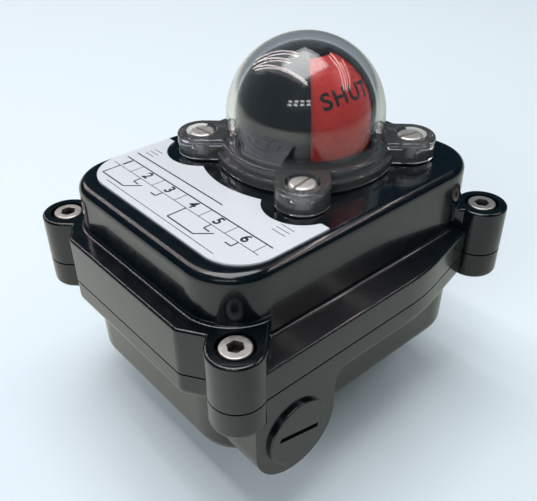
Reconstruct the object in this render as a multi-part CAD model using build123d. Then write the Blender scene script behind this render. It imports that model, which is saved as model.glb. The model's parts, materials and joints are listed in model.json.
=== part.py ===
"""Valve limit switch box: a cast housing with a clear position dome, two cam-driven switches and terminals.

Millimetres, +Z up. The origin is on the shaft axis, at the bottom mounting face. The long side of the box
runs along X, and the conduit entries open along Y.
"""
from build123d import *
import os
from math import asin, cos, degrees, pi, radians, sin

# ---- Box plan -------------------------------------------------------------------------------------------
SHAFT_OFFSET = 12.0        # from the box centre to the shaft axis, along X
LUG_PITCH_X = 97.8
LUG_PITCH_Y = 81.8
LUG_R = 7.7
NECK_HALF = 4.8            # half width of the web that joins a lug of the shaft end to the wall
FLANGE_L = 112.4
FLANGE_W = 95.8
TERMINAL_FLAT_Y = 26.4     # where the end wall of the terminal end turns into its corner flats
TERMINAL_FLAT = (4.2, 6.6)
SHAFT_FLAT_Y = 25.2        # the same at the shaft end
SHAFT_FLAT = (6.0, 7.2)
FLAT_EDGE_R = 3.0
TAPER_START_X = 15.0       # where the side walls start to run in, from the box centre
TAPER_END_X = 39.5
TAPER_DEPTH = 5.3
TAPER_BEND_R = 60.0
TUB_L = 100.6
TUB_W = 77.2
TUB_CORNER_R = 15.0
TUB_DRAFT = 1.3            # degrees

# ---- Heights and walls ----------------------------------------------------------------------------------
BASE_H = 33.5
FLANGE_T = 8.7
FLANGE_EDGE_R = 3.2        # lower edge of the base flange
LUG_DROP = 9.4
LUG_FOOT_R = 1.8
RIM_H = 14.5               # end flange and lug tops above the joint
LEDGE_H = 8.7              # side flange above the joint
COVER_H = 28.9
WALL = 3.5
FLOOR = 4.0
TUB_FOOT_R = 5.0
TUB_INNER_R = 2.0
COVER_EDGE_R = 2.7
FOOT_R = 1.1               # hollow fillets where walls meet the flanges
SMALL_EDGE_R = 0.8
EAR_BOSS_H = 5.0           # of the inner bosses for the dome screws
UPPER_BOSS_H = 6.0         # of the inner boss for the shaft
SEAM_H = 0.5               # shadow gap of the joint
SEAM_DEPTH = 0.6

# ---- Fits -----------------------------------------------------------------------------------------------
FIT = 0.05                 # radial clearance of running fits and screw threads
HOLE_CLEAR = 0.3           # radial clearance of through holes
TAP_RUNOUT = 0.5           # depth of a blind hole past its screw
RUN_GAP = 0.3              # end gap of turning pieces

# ---- Cover gasket and screws ----------------------------------------------------------------------------
GASKET_W = 2.6
GASKET_T = 1.6
M5_R = 2.5
M5_HEAD_R = 4.25
M5_HEAD_H = 5.0
M5_HEAD_EDGE_R = 0.5
M5_HEX = 4.0
M5_SOCKET = 2.8
M5_LENGTH = 18.0
COUNTERBORE_R = 5.1

# ---- Conduit entries ------------------------------------------------------------------------------------
ENTRY_FROM_LUG = 13.4      # from the lugs of the terminal end, along X
REAR_ENTRY_FROM_LUG = 18.4
ENTRY_Z = 15.0
ENTRY_BOSS_R = 13.9
ENTRY_BORE_R = 9.4
ENTRY_RELIEF = 1.2         # radial relief behind the entry's thread
ENTRY_FLARE = 7.0          # hollow fillet between the boss and the flange
PLUG_HEAD_R = 10.0
PLUG_HEAD_T = 1.2
PLUG_EDGE_R = 0.4
PLUG_LENGTH = 9.0
PLUG_SLOT_L = 14.0
PLUG_SLOT_W = 1.5
PLUG_SLOT_DEPTH = 0.9
PLUG_SLOT_TILT = 15.0
PLUG_SEAL_T = 1.0

# ---- Position dome --------------------------------------------------------------------------------------
DOME_R = 23.4
DOME_WALL = 2.0
DOME_CENTRE_H = 12.9       # centre of the spherical part above the cover top
DOME_RING_R = 26.8
DOME_RING_H = 3.6
DOME_STEP_R = 25.2
DOME_STEP_H = 6.2
EAR_PITCH = 44.0
EAR_R = 7.6
EAR_H = 7.0
EAR_RECESS_R = 4.8
EAR_RECESS = 2.4
M4_R = 2.0
M4_HEAD_R = 4.0
M4_HEAD_H = 2.2
DOME_SCREW_L = 9.0
SLOT_W = 1.0
DOME_GASKET_T = 0.8

# ---- Indicator ------------------------------------------------------------------------------------------
MASK_GAP = 0.7             # inside the dome
MASK_T = 1.0
MASK_FOOT_H = 7.1          # height of the closed ring at the mask's foot
MASK_ANGLE = 100.0         # angle covered by each of the two opaque sides
MASK_CROWN = 16.0          # half angle of the closed crown
MASK_FLANGE_T = 1.2
ROTOR_GAP = 0.5            # inside the mask
ROTOR_T = 1.2
ROTOR_FOOT_H = 2.6
ROTOR_SPLIT = 0.6          # gap between neighbouring panels
HUB_R = 6.5
HUB_H = 8.0
SPIDER_T = 1.6

# ---- Shaft, cams and spring -----------------------------------------------------------------------------
SHAFT_R = 5.0
DRIVE_R = 7.0
DRIVE_H = 13.0
TONGUE_T = 4.0
TONGUE_H = 4.5
DRIVE_EDGE = 0.8
DRIVE_GAP = 0.3            # between the drive and the mounting face
DRIVE_RECESS_R = 8.5       # shallow recess of the mounting face round the shaft
DRIVE_RECESS = 1.0
BUSH_T = 1.8
BUSH_FLANGE_R = 9.0
BUSH_FLANGE_T = 1.5
BOSS_R = 10.0
BOSS_H = 9.0
O_RING_T = 1.2
CLIP_T = 1.0
CLIP_R = 7.8
CLIP_GROOVE = 0.8
COLLAR_R = 9.0
COLLAR_T = 2.0
SPLINE_ROOT_R = 5.8
SPLINE_TIP_R = 6.6
SPLINE_TEETH = 24
CAM_BASE_R = 9.0
CAM_LIFT = 1.6
CAM_NOSE = 4.0             # half angle of the cam's full lift
CAM_RAMP = 14.0            # angle of each flank
CAM_T = 5.5
SPRING_R = 8.2
SPRING_WIRE = 0.9
SPRING_TURNS = 3
TURN = 90.0                # travel of the shaft

# ---- Switches -------------------------------------------------------------------------------------------
SWITCH_L = 27.8
SWITCH_D = 15.9
SWITCH_T = 10.3
SWITCH_GAP = 1.0
SWITCH_HOLE_PITCH_Y = 22.2
SWITCH_HOLE_PITCH_X = 10.3
SWITCH_HOLE_EDGE = 2.9
M3_R = 1.5
ROLLER_R = 2.4
ROLLER_W = 4.0
ROLLER_PIN_R = 0.8
ROLLER_GAP = 0.15          # between a roller and its cam
LEVER_ARM = 17.0           # from the lever's pivot to its roller
LEVER_T = 0.5
LEVER_W = 4.0
LEVER_STAND = 3.0          # from the blade of the lever to the roller's axis
LEVER_REST = 0.8           # from the switch face to the pressed lever
PIVOT_R = 0.9
PLUNGER_ARM = 7.5          # from the lever's pivot to the plunger
PLUNGER_L = 2.6
PLUNGER_W = 3.0
PLUNGER_GAP = 0.1
PLUNGER_DEPTH = 3.0
TAB_L = 5.5
TAB_W = 4.8
TAB_T = 0.8

# ---- Bracket and terminals ------------------------------------------------------------------------------
BRACKET_T = 1.5
BRACKET_Z = 10.5
BRACKET_FRONT = -1.4       # the plate's edge in front of the switch face
BRACKET_FOLD_R = 0.7
SHELF_GAP = 2.0            # between the shelf and the end wall
SHELF_L = 13.4
SHELF_Z = 25.5
SHELF_MARGIN = 0.3         # of the shelf past each end of the terminal block
POST_R = 4.0
POST_X = -25.0
POST_INSET = 3.5           # from the bracket's side edges
BRACKET_HEAD_R = 3.5
BRACKET_SCREW_L = 5.4
POLES = 6
POLE_PITCH = 6.4
BLOCK_W = 12.0
BLOCK_EDGE = 0.5           # of the shelf outside the block
BLOCK_H = 13.0
BLOCK_STEP = 0.55          # height of the block's foot, as a part of its height
BLOCK_RIDGE = 0.62         # width of the block's ridge, as a part of its width
BLOCK_END = 9.0            # from the outer poles' cells to the block's end
BLOCK_FOOT = 5.2           # fixing foot at each end of the block
BLOCK_SCREW_END = 2.6      # fixing screw from the block's end
BLOCK_HEAD_R = 2.4
BLOCK_HEAD_H = 1.6
TERMINAL_SCREW_R = 1.8
TERMINAL_SHANK_R = 1.1
TERMINAL_SCREW_L = 3.0
TERMINAL_WELL = 3.0
WIRE_HOLE_W = 3.5
WIRE_HOLE_H = 3.0
EARTH_X = 8.0
EARTH_Y = -25.0
EARTH_BOSS_H = 5.0
EARTH_SCREW_L = 5.0
EARTH_WASHER_T = 0.8

# ---- Label plate and mounting ---------------------------------------------------------------------------
PLATE_T = 0.5
PLATE_EDGE_X = 6.0         # from the cover's end wall
PLATE_EDGE_Y = 2.9
PLATE_END_X = -25.5
PLATE_R = 12.0
PLATE_DOME_GAP = 4.9
PLATE_EAR_GAP = 3.6
MOUNT_PITCH_X = 50.0
MOUNT_PITCH_Y = 30.0
MOUNT_HOLE_R = 2.1
MOUNT_HOLE_DEPTH = 8.0
MOUNT_BOSS_R = 5.0
MOUNT_BOSS_H = 10.0

# ---- Worked out -----------------------------------------------------------------------------------------
CENTRE_X = -SHAFT_OFFSET
ENTRY_X = CENTRE_X - LUG_PITCH_X / 2 + ENTRY_FROM_LUG
REAR_ENTRY_X = CENTRE_X - LUG_PITCH_X / 2 + REAR_ENTRY_FROM_LUG
SIDE_Y = FLANGE_W / 2
TINY = 0.01                # tolerance for finding edges and corners by their place
INNER_END_X = CENTRE_X - TUB_L / 2 + WALL
SHELF_END_X = INNER_END_X + SHELF_GAP
RISER_X = SHELF_END_X + SHELF_L
BLOCK_X = SHELF_END_X + BLOCK_EDGE + BLOCK_W / 2
BLOCK_L = POLES * POLE_PITCH + 2 * BLOCK_END
BRACKET_W = BLOCK_L + 2 * SHELF_MARGIN
POST_Y = BRACKET_W / 2 - POST_INSET
COVER_TOP = BASE_H + COVER_H
LUG_TOP = BASE_H + RIM_H
SCREW_SEAT = LUG_TOP - M5_HEAD_H
EAR_SEAT = COVER_TOP + EAR_H - EAR_RECESS
DOME_CENTRE = COVER_TOP + DOME_CENTRE_H
MASK_R = DOME_R - DOME_WALL - MASK_GAP
ROTOR_R = MASK_R - MASK_T - ROTOR_GAP
LUGS = [(CENTRE_X + sx * LUG_PITCH_X / 2, sy * LUG_PITCH_Y / 2) for sx in (-1, 1) for sy in (-1, 1)]
EARS = [(sx * EAR_PITCH / 2, sy * EAR_PITCH / 2) for sx in (-1, 1) for sy in (-1, 1)]
MOUNTS = [(sx * MOUNT_PITCH_X / 2, sy * MOUNT_PITCH_Y / 2) for sx in (-1, 1) for sy in (-1, 1)]
POSTS = [(POST_X, sy * POST_Y) for sy in (-1, 1)]
BUSH_R = SHAFT_R + BUSH_T
CLIP_Z = BOSS_H + BUSH_FLANGE_T + 0.2
COLLAR_Z = CLIP_Z + CLIP_T + 0.4
SWITCH_Z = (BRACKET_Z + BRACKET_T, BRACKET_Z + BRACKET_T + SWITCH_T + SWITCH_GAP)
LEVEL = tuple(z + SWITCH_T / 2 for z in SWITCH_Z)
CAM_Z = tuple(z - CAM_T / 2 for z in LEVEL)
SPLINE_TOP = CAM_Z[1] + CAM_T + CLIP_T + 1.0
ROLLER_PRESSED_X = -(CAM_BASE_R + CAM_LIFT + ROLLER_R + ROLLER_GAP)
FACE_X = ROLLER_PRESSED_X - LEVER_STAND - LEVER_REST
PIVOT_X = FACE_X + LEVER_REST
LEVER_SWING = degrees(asin(CAM_LIFT / LEVER_ARM))
PLUNGER_TRAVEL = CAM_LIFT * PLUNGER_ARM / LEVER_ARM
SWITCH_MID_Y = LEVER_ARM - SWITCH_L / 2 + 3.2
UPPER_BUSH_Z = COVER_TOP - WALL - UPPER_BOSS_H
HUB_Z = COVER_TOP + 1.0


# ---- Helpers --------------------------------------------------------------------------------------------
def prism(plan, low, high):
    """Extrude a plan sketch from one height to another."""
    return extrude(Pos(0, 0, low) * plan, high - low)


def rod(radius, low, high, x=0.0, y=0.0):
    """Upright cylinder between two heights."""
    return Pos(x, y, low) * Cylinder(radius, high - low, align=(Align.CENTER, Align.CENTER, Align.MIN))


def ring(outer, inner, low, high, x=0.0, y=0.0):
    """Upright tube between two heights."""
    return rod(outer, low, high, x, y) - rod(inner, low, high, x, y)


def top_edges(solid, height):
    """Edges that lie in one horizontal plane."""
    return solid.edges().filter_by_position(Axis.Z, height - TINY, height + TINY)


def group(solids):
    """Several separate solids as one node."""
    return Compound(children=list(solids))


def slotted_screw(x, y, seat, head_r, head_h, shank_r, length, turn=0.0):
    """Pan-head screw with a driver slot, its head on a seat height."""
    head = rod(head_r, seat, seat + head_h)
    head = fillet(top_edges(head, seat + head_h), head_h * 0.45)
    head -= Pos(0, 0, seat + head_h) * Box(2.2 * head_r, SLOT_W, head_h)
    screw = head + rod(shank_r, seat - length, seat)
    return Pos(x, y, 0) * Rot(0, 0, turn) * screw


# ---- Plans shared by the base and the cover -------------------------------------------------------------
def flange_plan():
    """Outline of the joint flange: straight ends, corner flats, and sides that run in past the entries."""
    end_x = FLANGE_L / 2
    half = [(-end_x, -TERMINAL_FLAT_Y),
            (-end_x + TERMINAL_FLAT[0], -TERMINAL_FLAT_Y - TERMINAL_FLAT[1]),
            (-LUG_PITCH_X / 2, -SIDE_Y),
            (TAPER_START_X, -SIDE_Y),
            (TAPER_END_X, -SIDE_Y + TAPER_DEPTH),
            (end_x - SHAFT_FLAT[0], -SHAFT_FLAT_Y - SHAFT_FLAT[1]),
            (end_x, -SHAFT_FLAT_Y)]
    mirrored = [(x, -y) for x, y in reversed(half)]
    plan = Polygon(*half, *mirrored, align=None)
    bends = [v for v in plan.vertices() if abs(abs(v.Y) - SIDE_Y) < TINY and v.X > 0]
    plan = fillet(bends, TAPER_BEND_R)
    corners = [v for v in plan.vertices() if abs(abs(v.X) - end_x) < TINY]
    return Pos(CENTRE_X, 0) * fillet(corners, FLAT_EDGE_R)


def lug_plan():
    """The four screw lugs with their webs."""
    plan = Sketch()
    for x, y in LUGS:
        inward = 1 if x < CENTRE_X else -1
        angle = 45.0 if inward * y < 0 else -45.0
        web_half = LUG_R if x < CENTRE_X else NECK_HALF
        web = Pos(1.5 * inward * LUG_R, 0) * Rectangle(3 * LUG_R, 2 * web_half)
        plan += Pos(x, y) * (Circle(LUG_R) + Rot(0, 0, angle) * web)
    return plan


def joint_plan():
    """Outline of the joint, flange and lugs together."""
    return flange_plan() + lug_plan()


def side_recess_plan():
    """Where the cover's side flanges drop below the lug tops, on both long sides."""
    reach = LUG_PITCH_X / 2 - LUG_PITCH_Y / 2 - NECK_HALF / cos(radians(45.0))
    inner = TUB_W / 2 - WALL
    outer = SIDE_Y + LUG_R
    plan = Sketch()
    for side in (-1, 1):
        plan += Polygon((-inner - reach, side * inner), (-outer - reach, side * outer),
                        (outer + reach, side * outer), (inner + reach, side * inner), align=None)
    return Pos(CENTRE_X, 0) * plan


def tub_plan(inset=0.0):
    """Rounded rectangle of the raised cover and of the tub, moved in by a wall."""
    return Pos(CENTRE_X, 0) * RectangleRounded(TUB_L - 2 * inset, TUB_W - 2 * inset, TUB_CORNER_R - inset)


def gasket_plan(clearance=0.0):
    """Ring of the cover gasket, on the rim of the tub wall."""
    outer = Pos(CENTRE_X, 0) * RectangleRounded(TUB_L + clearance, TUB_W + clearance, TUB_CORNER_R)
    inside = 2 * GASKET_W + clearance
    return outer - Pos(CENTRE_X, 0) * RectangleRounded(TUB_L - inside, TUB_W - inside, TUB_CORNER_R - GASKET_W)


# ---- Housing --------------------------------------------------------------------------------------------
def hollow_fillet(height, up):
    """Hollow fillet round the tub outline, above or below a flange face, as a ring sunk into both."""
    path = Pos(0, 0, height) * tub_plan().face().outer_wire()
    along = path % 0
    section = Plane(origin=path @ 0, x_dir=along.cross(Vector(0, 0, 1)), z_dir=-up * along)
    corner = Rectangle(2 * FOOT_R, 2 * FOOT_R) - Pos(FOOT_R, FOOT_R) * Circle(FOOT_R)
    return sweep(section * corner, path)


def entry_boss(side, x):
    """Round conduit boss that runs up into the flange, on one long side."""
    height = BASE_H - FLANGE_T + FLANGE_EDGE_R - ENTRY_Z
    start = TUB_W / 2 - TUB_CORNER_R
    corner = Pos(ENTRY_BOSS_R, height)
    profile = Circle(ENTRY_BOSS_R) + Pos(0, height / 2) * Rectangle(2 * ENTRY_BOSS_R, height)
    profile += corner * Pos(ENTRY_FLARE / 2, -ENTRY_FLARE / 2) * Rectangle(ENTRY_FLARE, ENTRY_FLARE)
    profile -= corner * Pos(ENTRY_FLARE, -ENTRY_FLARE) * Circle(ENTRY_FLARE)
    boss = Pos(x, 0, ENTRY_Z) * extrude(Plane.XZ.offset(start) * profile, SIDE_Y - start)
    return boss if side < 0 else mirror(boss, Plane.XZ)


def entry_bore(side, x):
    """Threaded bore of a conduit entry, relieved behind the thread."""
    inner_y = TUB_W / 2 - WALL
    thread = Cylinder(ENTRY_BORE_R, SIDE_Y - inner_y, align=(Align.CENTER, Align.CENTER, Align.MIN))
    relief = Cylinder(ENTRY_BORE_R + ENTRY_RELIEF, TUB_CORNER_R, align=(Align.CENTER, Align.CENTER, Align.MAX))
    return Pos(x, side * inner_y, ENTRY_Z) * Rot(-side * 90, 0, 0) * (thread + relief)


def tub():
    """Outside of the tub: drafted walls on a rounded foot."""
    top = BASE_H - FLANGE_T
    body = Pos(0, 0, top) * extrude(tub_plan(), -top, taper=TUB_DRAFT)
    return fillet(top_edges(body, 0), TUB_FOOT_R)


def base_housing():
    """Cast tub with its flange, lugs, conduit bosses and inner bosses."""
    flange_low = BASE_H - FLANGE_T
    seam = BASE_H - SEAM_H
    flange = fillet(top_edges(prism(flange_plan(), flange_low, seam), flange_low), FLANGE_EDGE_R)
    lugs = prism(lug_plan(), BASE_H - LUG_DROP, seam)
    lugs = fillet(top_edges(lugs, BASE_H - LUG_DROP), LUG_FOOT_R)
    body = tub() + flange + hollow_fillet(flange_low, -1) + lugs
    body += prism(offset(joint_plan(), -SEAM_DEPTH), seam, BASE_H)
    body += entry_boss(-1, ENTRY_X) + entry_boss(1, REAR_ENTRY_X)
    inside = prism(tub_plan(WALL), FLOOR, BASE_H)
    body -= fillet(top_edges(inside, FLOOR), TUB_INNER_R)
    body += rod(BOSS_R, 0, BOSS_H)
    for x, y in MOUNTS:
        body += rod(MOUNT_BOSS_R, FLOOR / 2, MOUNT_BOSS_H, x, y)
    for x, y in POSTS:
        body += rod(POST_R, FLOOR / 2, BRACKET_Z, x, y)
    body += rod(POST_R, FLOOR / 2, FLOOR + EARTH_BOSS_H, EARTH_X, EARTH_Y)
    body -= entry_bore(-1, ENTRY_X) + entry_bore(1, REAR_ENTRY_X)
    for x, y in LUGS:
        body -= rod(M5_R + FIT, SCREW_SEAT - M5_LENGTH - TAP_RUNOUT, BASE_H, x, y)
    for x, y in MOUNTS:
        body -= rod(MOUNT_HOLE_R, 0, MOUNT_HOLE_DEPTH, x, y)
    for x, y in POSTS:
        body -= rod(M4_R + FIT, FLOOR, BRACKET_Z, x, y)
    body -= rod(M4_R + FIT, FLOOR, FLOOR + EARTH_BOSS_H, EARTH_X, EARTH_Y)
    body -= rod(BUSH_R, DRIVE_RECESS, BOSS_H)
    body -= rod(DRIVE_RECESS_R, 0, DRIVE_RECESS)
    body -= prism(gasket_plan(), BASE_H - GASKET_T, BASE_H)
    return body


def cover_shell():
    """Cover with its joint at height zero: flange, lugs and the raised body with its rounded edges."""
    low = fillet(top_edges(prism(flange_plan(), 0, LEDGE_H), LEDGE_H), SMALL_EDGE_R)
    rim_plan = flange_plan() - side_recess_plan()
    high = fillet(top_edges(prism(rim_plan, 0, RIM_H), RIM_H), SMALL_EDGE_R)
    high += fillet(top_edges(prism(lug_plan(), 0, RIM_H), RIM_H), SMALL_EDGE_R)
    raised = fillet(top_edges(prism(tub_plan(), 0, COVER_H), COVER_H), COVER_EDGE_R)
    feet = hollow_fillet(LEDGE_H, 1) + (hollow_fillet(RIM_H, 1) & prism(rim_plan + lug_plan(), LEDGE_H, COVER_H))
    inside = fillet(top_edges(prism(tub_plan(WALL), 0, COVER_H - WALL), COVER_H - WALL), COVER_EDGE_R)
    return low + high + raised + feet - inside


def cover():
    """Cast cover: its shell with the bosses and holes for the shaft, the dome and the screws."""
    body = Pos(0, 0, BASE_H) * cover_shell()
    inner_top = COVER_TOP - WALL
    body += rod(BOSS_R, UPPER_BUSH_Z, inner_top + WALL / 2)
    for x, y in EARS:
        body += rod(POST_R, inner_top - EAR_BOSS_H, inner_top + WALL / 2, x, y)
    for x, y in LUGS:
        body -= rod(M5_R + HOLE_CLEAR, BASE_H, LUG_TOP, x, y)
        body -= rod(COUNTERBORE_R, SCREW_SEAT, LUG_TOP, x, y)
    for x, y in EARS:
        body -= rod(M4_R + FIT, EAR_SEAT - DOME_SCREW_L - TAP_RUNOUT, COVER_TOP, x, y)
    body -= rod(BUSH_R, UPPER_BUSH_Z, COVER_TOP)
    return body


def cover_gasket():
    """Flat seal that fills its groove in the base flange."""
    return prism(gasket_plan(-2 * FIT), BASE_H - GASKET_T, BASE_H)


def cover_screws():
    """Four socket-head screws, one in each lug."""
    top = SCREW_SEAT + M5_HEAD_H
    head = fillet(top_edges(rod(M5_HEAD_R, SCREW_SEAT, top), top), M5_HEAD_EDGE_R)
    socket = RegularPolygon(M5_HEX / 2, 6, major_radius=False)
    head -= prism(socket, top - M5_SOCKET, top)
    screw = head + rod(M5_R, SCREW_SEAT - M5_LENGTH, SCREW_SEAT)
    return group(Pos(x, y, 0) * screw for x, y in LUGS)


def name_plate():
    """Blank plate on the cover, cut back round the dome and its ears."""
    left = CENTRE_X - TUB_L / 2 + PLATE_EDGE_X
    width = TUB_W - 2 * PLATE_EDGE_Y
    length = 2 * (PLATE_END_X - left)
    plan = Pos(left + length / 2, 0) * RectangleRounded(length, width, PLATE_R)
    plan &= Pos(left + length / 4, 0) * Rectangle(length / 2, width)
    plan -= Circle(DOME_RING_R + PLATE_DOME_GAP)
    for x, y in EARS:
        plan -= Pos(x, y) * Circle(EAR_R + PLATE_EAR_GAP)
    return prism(plan, COVER_TOP, COVER_TOP + PLATE_T)


# ---- Conduit plug ---------------------------------------------------------------------------------------
def conduit_plug():
    """Screwed plug in the front entry, with a driver slot across its head."""
    base = (Align.CENTER, Align.CENTER, Align.MIN)
    head = Cylinder(PLUG_HEAD_R, PLUG_HEAD_T, align=base)
    head = fillet(top_edges(head, PLUG_HEAD_T), PLUG_EDGE_R)
    slot = Pos(0, 0, PLUG_HEAD_T) * Box(PLUG_SLOT_L, PLUG_SLOT_W, 2 * PLUG_SLOT_DEPTH)
    head -= Rot(0, 0, -PLUG_SLOT_TILT) * slot
    neck = rod(ENTRY_BORE_R - PLUG_SEAL_T, -PLUG_SEAL_T, 0)
    stem = rod(ENTRY_BORE_R - FIT, -PLUG_LENGTH, -PLUG_SEAL_T)
    return place_plug(head + neck + stem)


def plug_seal():
    """Sealing ring in the neck of the plug."""
    return place_plug(ring(ENTRY_BORE_R - FIT, ENTRY_BORE_R - PLUG_SEAL_T + FIT, -PLUG_SEAL_T, 0))


def place_plug(solid):
    """Turn a solid made along +Z so that it faces out of the front entry."""
    return Pos(ENTRY_X, -SIDE_Y, ENTRY_Z) * Rot(90, 0, 0) * solid


# ---- Position dome --------------------------------------------------------------------------------------
def domed_shell(outer, thickness, foot):
    """Half-round cap on a straight skirt, as a shell of even wall."""
    def cap(radius):
        return Pos(0, 0, DOME_CENTRE) * Sphere(radius) + rod(radius, foot, DOME_CENTRE)
    below = Pos(0, 0, foot) * Box(4 * outer, 4 * outer, 4 * outer, align=(Align.CENTER, Align.CENTER, Align.MAX))
    return cap(outer) - cap(outer - thickness) - below


def ear_plan(radius):
    """Outline of the four ears, each with a neck towards the dome."""
    plan = Sketch()
    for x, y in EARS:
        angle = 45.0 if x * y > 0 else -45.0
        neck = Rot(0, 0, angle) * Pos(-EAR_R / 2, 0) * Rectangle(EAR_R, 2 * radius)
        if x < 0:
            neck = Rot(0, 0, 180.0) * neck
        plan += Pos(x, y) * (Circle(radius) + neck)
    return plan


def dome():
    """Clear dome with a stepped foot ring and four screw ears."""
    foot = COVER_TOP + DOME_GASKET_T
    body = domed_shell(DOME_R, DOME_WALL, foot)
    inner = DOME_R - DOME_WALL
    lower = rod(DOME_RING_R, foot, COVER_TOP + DOME_RING_H)
    upper = rod(DOME_STEP_R, foot, COVER_TOP + DOME_STEP_H)
    foot_ring = fillet(top_edges(lower, COVER_TOP + DOME_RING_H), 0.6)
    foot_ring += fillet(top_edges(upper, COVER_TOP + DOME_STEP_H), 0.8)
    ear_prism = prism(ear_plan(EAR_R), foot, COVER_TOP + EAR_H)
    ear_prism = fillet(top_edges(ear_prism, COVER_TOP + EAR_H), 1.0)
    body += (foot_ring + ear_prism) - rod(inner, foot, COVER_TOP + EAR_H + 1.0)
    for x, y in EARS:
        body -= rod(M4_R + HOLE_CLEAR, foot, COVER_TOP + EAR_H, x, y)
        body -= rod(EAR_RECESS_R, EAR_SEAT, COVER_TOP + EAR_H, x, y)
    return body


def dome_gasket():
    """Black ring that seals the dome to the cover, with an eye round each screw."""
    plan = Circle(DOME_RING_R - 0.6) + ear_plan(EAR_R - 1.0)
    plan -= Circle(DOME_R - DOME_WALL)
    for x, y in EARS:
        plan -= Pos(x, y) * Circle(M4_R + HOLE_CLEAR)
    return prism(plan, COVER_TOP, COVER_TOP + DOME_GASKET_T)


def dome_screws():
    """Four slotted pan-head screws in the ears of the dome."""
    turns = (10.0, 95.0, -15.0, 60.0)
    return group(slotted_screw(x, y, EAR_SEAT, M4_HEAD_R, M4_HEAD_H, M4_R, DOME_SCREW_L, turn)
                 for (x, y), turn in zip(EARS, turns))


def sector(angle, middle, reach, low, high):
    """Wedge about the shaft axis, used to cut a dome into panels."""
    half = radians(angle / 2)
    corners = [(0, 0)]
    for step in (-1.0, -0.34, 0.34, 1.0):
        corners.append((reach * cos(half * step), reach * sin(half * step)))
    return Rot(0, 0, middle) * prism(Polygon(*corners, align=None), low, high)


def indicator_mask():
    """Fixed black mask: two opaque sides, a closed crown and a foot ring with two windows between them."""
    foot = COVER_TOP + MASK_FLANGE_T
    shell = domed_shell(MASK_R, MASK_T, foot)
    window_low = COVER_TOP + MASK_FOOT_H
    window_high = DOME_CENTRE + 2 * MASK_R
    crown = rod(MASK_R * sin(radians(MASK_CROWN)), window_low, window_high)
    opening = 180.0 - MASK_ANGLE
    for middle in (-90.0, 90.0):
        shell -= sector(opening, middle, 3 * MASK_R, window_low, window_high) - crown
    return shell + ring(MASK_R, ROTOR_R + ROTOR_GAP, COVER_TOP, foot)


def rotor_panels(middles):
    """Two facing panels of the turning drum."""
    foot = COVER_TOP + ROTOR_FOOT_H
    shell = domed_shell(ROTOR_R, ROTOR_T, foot) - rod(HUB_R, foot, DOME_CENTRE + 2 * ROTOR_R)
    gap = degrees(ROTOR_SPLIT / ROTOR_R)
    panels = []
    for middle in middles:
        panels.append(shell & sector(90.0 - gap, middle, 3 * ROTOR_R, foot, DOME_CENTRE + 2 * ROTOR_R))
    return group(panels)


def rotor_hub():
    """Hub and cross that carry the coloured panels on the shaft."""
    foot = COVER_TOP + ROTOR_FOOT_H
    inner = ROTOR_R - ROTOR_T
    hub = rod(HUB_R, HUB_Z, HUB_Z + HUB_H)
    plate = rod(inner, foot, foot + SPIDER_T) - rod(inner - 3.0, foot, foot + SPIDER_T)
    for angle in (45.0, -45.0):
        plate += Pos(0, 0, foot + SPIDER_T / 2) * Rot(0, 0, angle) * Box(2 * inner - 2.0, 5.0, SPIDER_T)
    top_ring_z = DOME_CENTRE + (inner ** 2 - HUB_R ** 2) ** 0.5
    post = rod(HUB_R - 1.5, HUB_Z + HUB_H - 0.5, top_ring_z + ROTOR_T / 2)
    body = hub + plate + post + rod(HUB_R - FIT, top_ring_z - 1.0, top_ring_z + ROTOR_T / 2)
    body -= rod(SHAFT_R - 1.0 + FIT, HUB_Z, HUB_Z + HUB_H - 2.0)
    return body - rod(M4_R + HOLE_CLEAR, HUB_Z, top_ring_z + ROTOR_T)


def rotor_screw():
    """Screw down the middle of the rotor into the shaft."""
    seat = DOME_CENTRE + ((ROTOR_R - ROTOR_T) ** 2 - HUB_R ** 2) ** 0.5 + ROTOR_T / 2
    length = seat - (HUB_Z + HUB_H - 2.0) + 6.0
    return slotted_screw(0, 0, seat, M4_HEAD_R - 0.6, 1.0, M4_R - FIT, length)


# ---- Shaft ----------------------------------------------------------------------------------------------
def spline_plan(root, tip, teeth=SPLINE_TEETH):
    """Ring of straight-sided teeth."""
    plan = Circle(root)
    pitch = 2 * pi * root / teeth
    tooth = Pos((root + tip) / 2 - 0.1, 0) * Rectangle(tip - root + 0.2, pitch * 0.5)
    for index in range(teeth):
        plan += Rot(0, 0, index * 360.0 / teeth) * tooth
    return plan


def shaft():
    """Shaft from the drive tongue below the box to the rotor seat above the cover."""
    drive = rod(DRIVE_R, -DRIVE_H, -DRIVE_GAP)
    drive = chamfer(top_edges(drive, -DRIVE_H), DRIVE_EDGE)
    tongue = Pos(0, 0, -DRIVE_H - TONGUE_H / 2) * Box(2 * DRIVE_R - 2.0, TONGUE_T, TONGUE_H)
    seat_end = HUB_Z + HUB_H - 2.0 - FIT
    body = drive + tongue + rod(SHAFT_R, -DRIVE_GAP, HUB_Z - FIT)
    body += rod(SHAFT_R - 1.0, HUB_Z - FIT, seat_end)
    body += rod(COLLAR_R, COLLAR_Z, COLLAR_Z + COLLAR_T)
    body += prism(spline_plan(SPLINE_ROOT_R, SPLINE_TIP_R), COLLAR_Z + COLLAR_T, SPLINE_TOP)
    clip_root = SHAFT_R - CLIP_GROOVE
    body -= ring(SHAFT_R + 0.01, clip_root, CLIP_Z, CLIP_Z + CLIP_T)
    top_clip = CAM_Z[1] + CAM_T
    body -= ring(SPLINE_TIP_R + 1.0, SPLINE_ROOT_R - CLIP_GROOVE, top_clip, top_clip + CLIP_T)
    for middle in o_ring_heights():
        body -= ring(SHAFT_R + 0.01, SHAFT_R - O_RING_T, middle - O_RING_T / 2, middle + O_RING_T / 2)
    return body - rod(M4_R - FIT + 0.02, seat_end - 8.0, seat_end)


def o_ring_heights():
    """Middles of the two shaft seals."""
    return BOSS_H / 2, (UPPER_BUSH_Z + COVER_TOP) / 2


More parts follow.
